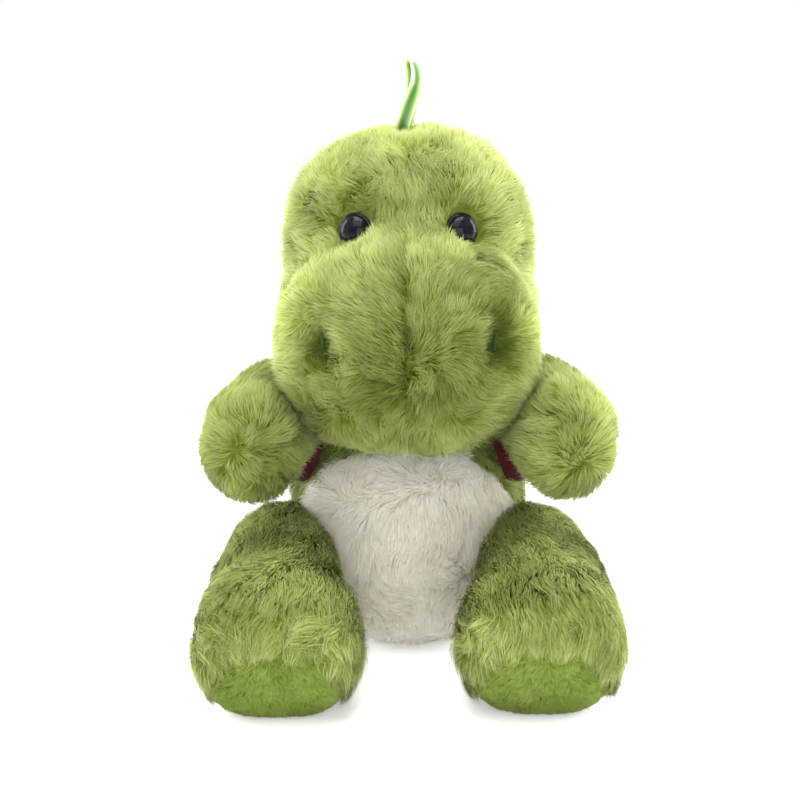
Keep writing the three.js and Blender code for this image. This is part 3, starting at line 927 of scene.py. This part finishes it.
def make_leg(word, side, materials):
    hip = mirror(side, pivot("left_leg_swing"))
    low, high = box_of("leg_skin_left", "sole_left")
    foot = [high[0] - FOOT_RADIUS - 1.5 * MM, low[1] + 25 * MM, 26 * MM]
    foot = mirror(side, foot) + FOOT_OFF[word]
    thigh = hip + mirror(side, np.array([18, -11, 10])) * MM
    shin = (thigh + foot) / 2 + mirror(side, np.array([2.5, 0, 0])) * MM
    masses = row_of_balls(hip, thigh, np.array([18, 19]) * MM, 3)
    masses += row_of_balls(thigh, shin, np.array([19, 23.5]) * MM, 4)
    masses += row_of_balls(shin, foot, np.array([23.5, 26]) * MM, 4)
    masses.append((foot, np.array([28.5, 28, 27]) * MM, 2.5))
    leg = plump(f"leg_plush_{word}", masses, swell=2 * MM)
    flatten_sole(leg, foot)
    sit(leg)

    def on_sole(points):
        aside = (points[:, 0] - foot[0]) / SOLE_HALF_WIDTH
        return (points - foot) @ sole_normal(SOLE_WRAP) > 6 * MM + 14 * MM * aside**4

    sole = cut_out(leg, f"sole_plush_{word}", on_sole)
    body = f"{word}_leg"
    stands_for = [f"leg_skin_{word}", f"leg_stuffing_{word}"]
    finish_skin(leg, body, stands_for, materials["backing"])
    finish_skin(sole, body, [f"sole_{word}"], materials["backing"])
    along = unit(foot - hip)
    centre = foot + np.array([0, -26, 9]) * MM

    def comb_leg(points, normals):
        away = points - hip
        away[:, 1] *= 0.4
        return unit(0.5 * along + unit(away) * 0.5 + np.array([0, 0, -0.6]))

    def comb_sole(points, normals):
        return unit(points - centre)

    def leg_painted_light_and_shade(points, normals):
        """Painted light on top of the thigh, which lies back in the head's shadow; the shin is a little darker,
        with painted shade where it faces forwards.
        """
        share = (points - foot) @ (hip - foot) / ((hip - foot) @ (hip - foot))
        thigh_share = np.clip((share - THIGH_FROM) / THIGH_OVER, 0, 1)
        shin = front_painted_shade(points, normals) + SHIN_SHADE
        return THIGH_PAINTED_LIGHT * thigh_share + shin * (1 - thigh_share)

    piece = fur(f"leg_pile_{word}", leg, 4.3, PILE, comb_leg, 51 + side, materials["green"],
                lay=0.66, droop=0.1, mess=0.16, shade=leg_painted_light_and_shade)
    finish_fur(piece, body)
    rim = foot + np.array([0, -24, 10]) * MM

    def above_sole(points):
        far = (points - foot) @ sole_normal(SOLE_WRAP)
        return (far > -2 * MM) & (points[:, 2] > foot[2] - 4 * MM)

    def comb_rim(points, normals):
        return unit(np.array([0, -0.5, -1]) + 0.35 * unit(points - rim))

    piece = fur(f"toe_locks_{word}", leg, 3.6, 13 * MM, comb_rim, 81 + side, materials["green"],
                lay=0.75, droop=0.15, lock=3 * MM, gather=0.6, keep=above_sole, mess=0.4,
                shade=lambda points, normals: 0.12)
    finish_fur(piece, body)
    piece = fur(f"sole_pile_{word}", sole, 9, 3.6 * MM, comb_sole, 61 + side, materials["sole"],
                lay=0.6, lock=1.4 * MM, tuft=5 * MM, gather=0.25, mess=0.15, swirl=0.2)
    finish_fur(piece, body)


def flatten_sole(leg, foot):
    """The foot ends in a gently domed sole."""
    points = read_points(leg.data)
    normal = sole_normal(SOLE_TILT)
    ahead = (points - foot) @ normal
    over = np.maximum(ahead - SOLE_DEPTH, 0)
    keep = 5 * MM * (1 - np.exp(-over / (6 * MM)))
    write_points(leg.data, points - np.outer(over - keep, normal))


def make_tail(materials):
    root = pivot("tail_wag")
    low, high = box_of("tail_skin")
    tip_radius = 11 * MM
    tip = np.array([0, high[1] - tip_radius, low[2] + tip_radius])
    tail = plump("tail_plush", row_of_balls(root, tip, np.array([17, 15.5, 13.5, 11]) * MM))
    sit(tail)
    finish_skin(tail, "tail", ["tail_skin", "tail_stuffing"], materials["backing"])
    along = unit(tip - root)
    piece = fur("tail_pile", tail, 3.5, PILE, lambda points, normals: np.tile(along, (len(points), 1)), 71,
                materials["green"], lay=0.55)
    finish_fur(piece, "tail")


def lathe(name, profile, direction, at, segments=48):
    """Turns (radius, height) points about a direction."""
    direction = Vector(direction)
    turn = direction.to_track_quat("Z", "Y").to_matrix()
    points, faces = [], []
    for radius, height in profile:
        for step in range(segments):
            angle = 2 * math.pi * step / segments
            p = turn @ Vector((radius * math.cos(angle), radius * math.sin(angle), height))
            points.append(p + Vector(at))
    for row in range(len(profile) - 1):
        for step in range(segments):
            a, b = row * segments + step, row * segments + (step + 1) % segments
            faces.append((a, b, b + segments, a + segments))
    piece = new_object(name, points, faces)
    weld = piece.modifiers.new("weld", "WELD")
    weld.merge_threshold = 1e-6
    apply_modifiers(piece)
    piece.data.shade_smooth()
    return piece


def speckled(name, scale, detail, stops, roughness):
    """Moulded plastic whose colour varies in fine grains."""
    material = new_material(name)
    coordinates = add_node(material, "ShaderNodeTexCoord")
    grain = add_node(material, "ShaderNodeTexNoise", Scale=scale, Detail=detail)
    link(material, coordinates.outputs["Object"], grain.inputs["Vector"])
    shader = shader_of(material)
    link(material, ramp(material, grain.outputs["Fac"], stops), shader.inputs["Base Color"])
    shader.inputs["Roughness"].default_value = roughness
    return material


def eye_material():
    stops = [(0.4, (0.004, 0.004, 0.006)), (0.8, (0.012, 0.012, 0.016))]
    material = speckled("eye_black", 700, 3, stops, 0.05)
    shader_of(material).inputs["Specular IOR Level"].default_value = 0.12
    return material


DOME_HEIGHT = 4.4 * MM
DOME_FROM = 1.35 * MM  # the height of its foot over the eye's back
DOME_STEPS = 12
POST_RADIUS = 1.7 * MM
POST_DEPTH = -6 * MM


def make_eyes():
    """A post, a rounded rim, a small step and a dome."""
    material = eye_material()
    washer_stops = [(0.3, (0.75, 0.75, 0.72)), (0.7, (0.85, 0.85, 0.83))]
    washer_plastic = speckled("washer_plastic", 400, 5, washer_stops, 0.45)
    r = EYE_RADIUS
    profile = [(0, POST_DEPTH), (POST_RADIUS, POST_DEPTH), (POST_RADIUS, -0.3 * MM)]
    profile += [(r * 0.95, 0), (r, 0.3 * MM), (r, 0.9 * MM), (r * 0.95, 1.15 * MM)]
    profile += [(r * 0.88, 1.2 * MM), (r * 0.86, DOME_FROM)]
    for step in range(1, DOME_STEPS + 1):
        angle = step / DOME_STEPS * math.pi / 2
        height = DOME_FROM + (DOME_HEIGHT - DOME_FROM) * math.sin(angle)
        profile.append((r * 0.86 * math.cos(angle), height))
    for word, side in SIDES:
        eye = lathe(f"eye_dome_{word}", profile, mirror(side, EYE_FACING), eye_place(side))
        eye.data.materials.append(material)
        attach(eye, "head")
        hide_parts(f"eye_{word}")
        repaint(f"eye_washer_{word}", washer_plastic)


def repaint(node_name, material):
    """Gives a CAD piece a better material."""
    node = frame["nodes"][node_name]
    node.data.materials.clear()
    node.data.materials.append(material)


def ribbon_material():
    """Satin with a painted highlight along its edges and painted shade in its folded middle. u of its map runs
    across it.
    """
    material = new_material("satin_ribbon")
    across = add_node(material, "ShaderNodeUVMap")
    across.uv_map = STRAND_MAP
    parts = add_node(material, "ShaderNodeSeparateXYZ")
    link(material, across.outputs["UV"], parts.inputs["Vector"])
    # the pale edge colour is a painted highlight and the dark middle colour painted shade in the fold; field_green
    # is the satin's own colour
    edge_highlight, field_green, middle = (0.46, 0.62, 0.27), (0.17, 0.34, 0.05), (0.035, 0.11, 0.012)
    half = [(0.0, edge_highlight), (0.1, edge_highlight), (0.2, field_green), (0.4, middle)]
    stops = half + [(1 - place, color) for place, color in half[::-1]]
    shader = shader_of(material)
    link(material, ramp(material, parts.outputs["X"], stops), shader.inputs["Base Color"])
    shader.inputs["Roughness"].default_value = 0.35
    shader.inputs["Sheen Weight"].default_value = 0.2
    return material


BAND_SIDES = 24


def smooth_path(points, count):
    """A smooth curve through points, at even steps."""
    points = np.array(points, float)
    padded = np.vstack([2 * points[0] - points[1], points, 2 * points[-1] - points[-2]])
    samples = []
    for s in np.linspace(0, len(points) - 1, count):
        i = min(int(s), len(points) - 2)
        t = s - i
        p0, p1, p2, p3 = padded[i : i + 4]
        samples.append(0.5 * (2 * p1 + (p2 - p0) * t + (2 * p0 - 5 * p1 + 4 * p2 - p3) * t**2
                              + (3 * p1 - p0 - 3 * p2 + p3) * t**3))
    return np.array(samples)


def band(name, path, normals, width, thickness, closed=False, crown=0.0, mapped=False):
    """A flat strap along a path, facing its normals, with rounded edges. crown bows it along its middle."""
    path = np.array(path)
    if closed:
        tangent = unit(np.roll(path, -1, 0) - np.roll(path, 1, 0))
    else:
        tangent = unit(np.gradient(path, axis=0))
    normals = unit(flat_to(tangent, np.array(normals, float)))
    across = unit(np.cross(tangent, normals))
    angles = np.linspace(0, 2 * np.pi, BAND_SIDES, endpoint=False)
    u = np.sign(np.cos(angles)) * np.abs(np.cos(angles)) ** 0.6
    v = np.sign(np.sin(angles)) * np.abs(np.sin(angles)) ** 0.8
    points = path[:, None] + across[:, None] * (u * width / 2)[:, None]
    points += normals[:, None] * (v * thickness / 2 + crown * (1 - np.abs(u)))[:, None]
    count = len(path)
    faces = []
    for row in range(count if closed else count - 1):
        start, after = row * BAND_SIDES, (row + 1) % count * BAND_SIDES
        for k in range(BAND_SIDES):
            j = (k + 1) % BAND_SIDES
            faces.append((start + k, start + j, after + j, after + k))
    if not closed:
        faces.append(tuple(range(BAND_SIDES))[::-1])
        faces.append(tuple((count - 1) * BAND_SIDES + k for k in range(BAND_SIDES)))
    piece = new_object(name, points.reshape(-1, 3), faces)
    if mapped:
        layer = piece.data.uv_layers.new(name=STRAND_MAP)
        for loop in piece.data.loops:
            row, k = divmod(loop.vertex_index, BAND_SIDES)
            layer.data[loop.index].uv = (0.5 + 0.49 * u[k], row / count)
    piece.data.shade_smooth()
    return piece


def strap_ring(side, steps=48):
    """The way of a strap round one shoulder: points of an oval ring that faces outwards and a little up."""
    facing = mirror(side, unit(np.array([1.0, -0.05, 0.36])))
    centre = mirror(side, pivot("left_arm_swing") + np.array([0, -1, 4]) * MM)
    first = unit(np.cross(facing, [0, 0, 1.0]))
    second = np.cross(facing, first)
    turns = np.linspace(0, 2 * np.pi, steps, endpoint=False)[:, None]
    path = centre + np.cos(turns) * first * STRAP_REACH[0] + np.sin(turns) * second * STRAP_REACH[1]
    return path, unit(path - centre), facing


def clear_of_straps(points):
    """Leaves the pile off under the shoulder straps."""
    good = np.ones(len(points), bool)
    for _, side in SIDES:
        ring, _, facing = strap_ring(side)
        centre = ring.mean(0)
        aside = np.abs((points - centre) @ facing)
        close = np.linalg.norm(points - centre, axis=1) < STRAP_REACH[0] + 9 * MM
        good &= ~((aside < STRAP_WIDTH * 0.5) & close)
    return good


def make_straps(material):
    """A flat band round each shoulder over the pile, and one across the back between them."""
    for word, side in SIDES:
        ring, spokes, _ = strap_ring(side)
        strap = band(f"shoulder_band_{word}", ring, spokes, STRAP_WIDTH, STRAP_THICKNESS, closed=True)
        dress(strap, "torso", material)
        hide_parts(f"shoulder_strap_{word}")
    low, high = box_of("strap_yoke")
    ring, _, _ = strap_ring(1)
    joined = ring[np.argmax(ring[:, 1])]
    middle = np.array([0, high[1] + 1.5 * MM, (low[2] + high[2]) / 2])
    between = (joined + middle) / 2 + np.array([MM, 3 * MM, 0])
    half = [joined, between, middle]
    path = smooth_path(half + [mirror(-1, point) for point in half[1::-1]], 41)
    outward = path * [1, 1, 0] + [0, 0, 6 * MM]
    yoke = band("strap_back", path, outward, high[2] - low[2], STRAP_THICKNESS)
    dress(yoke, "torso", material)
    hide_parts("strap_yoke")


def dress(piece, body, material):
    piece.data.materials.append(material)
    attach(piece, body)


STITCH_STEPS = 9


def make_nostril_threads(material):
    """Each nostril's stitch lies at the bottom of its hollow."""
    for word, side in SIDES:
        place = nostril_place(side) + np.array([-side * MM, 6 * MM, 0])
        t = np.linspace(-1, 1, STITCH_STEPS)
        path = place + np.stack([side * 0.5 * MM * t, 1.5 * MM * t * t, 5 * MM * t], 1)
        stitch = band(f"nostril_thread_{word}", path, [(0, -1, 0)] * STITCH_STEPS, 1.4 * MM, 1.2 * MM)
        dress(stitch, "head", material)
        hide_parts(f"nostril_stitch_{word}")


LOOP_ROUTE = (  # millimetres from where it is sewn in: up in front, over, and down behind
    (-2.6, -5.5, -6), (-2.3, -9, -1), (-0.2, -9.2, 6.5), (2.3, -7.8, 13.5), (3.3, -4.6, 19.3),
    (2.2, -0.6, 24.4), (1.3, 2.6, 23.6), (1.8, 4.4, 18), (1.5, 4.0, 11), (0.0, 2.6, 3), (-1.0, 1.1, -3),
)
RIBBON_WIDTH = 5.4 * MM


def make_loop():
    """A ribbon folded lengthwise. It twists near its top."""
    base = pivot("loop_fold")
    path = smooth_path(np.array(LOOP_ROUTE) * MM, 90) + base
    middle = base + np.array([0.8, 0, 14]) * MM
    normals = (path - middle) * [0, 1, 0.6]
    share = np.linspace(0, 1, len(path))
    turn = math.radians(35) * np.exp(-(((share - 0.42) / 0.14) ** 4))[:, None]
    tangent = unit(np.gradient(path, axis=0))
    normals = unit(flat_to(tangent, normals))
    normals = normals * np.cos(turn) + np.cross(tangent, normals) * np.sin(turn)
    loop = band("hang_ribbon", path, normals, RIBBON_WIDTH, 0.5 * MM, crown=-0.9 * MM, mapped=True)
    dress(loop, "loop", ribbon_material())
    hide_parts("hang_loop")
    repaint("loop_anchor", loop.data.materials[0])


def main():
    make_camera()
    make_studio()
    make_loop()
    materials = make_pile_materials()
    head, muzzle = make_head(materials)
    furnish_head(head, muzzle, materials["green"])
    torso, belly = make_torso(materials)
    furnish_torso(torso, belly, materials)
    make_neck(materials)
    for word, side in SIDES:
        make_arm(word, side, materials)
        make_leg(word, side, materials)
    make_tail(materials)
    make_eyes()
    make_straps(materials["webbing"])
    make_nostril_threads(materials["thread"])
    repaint("closing_thread", materials["thread"])


main()
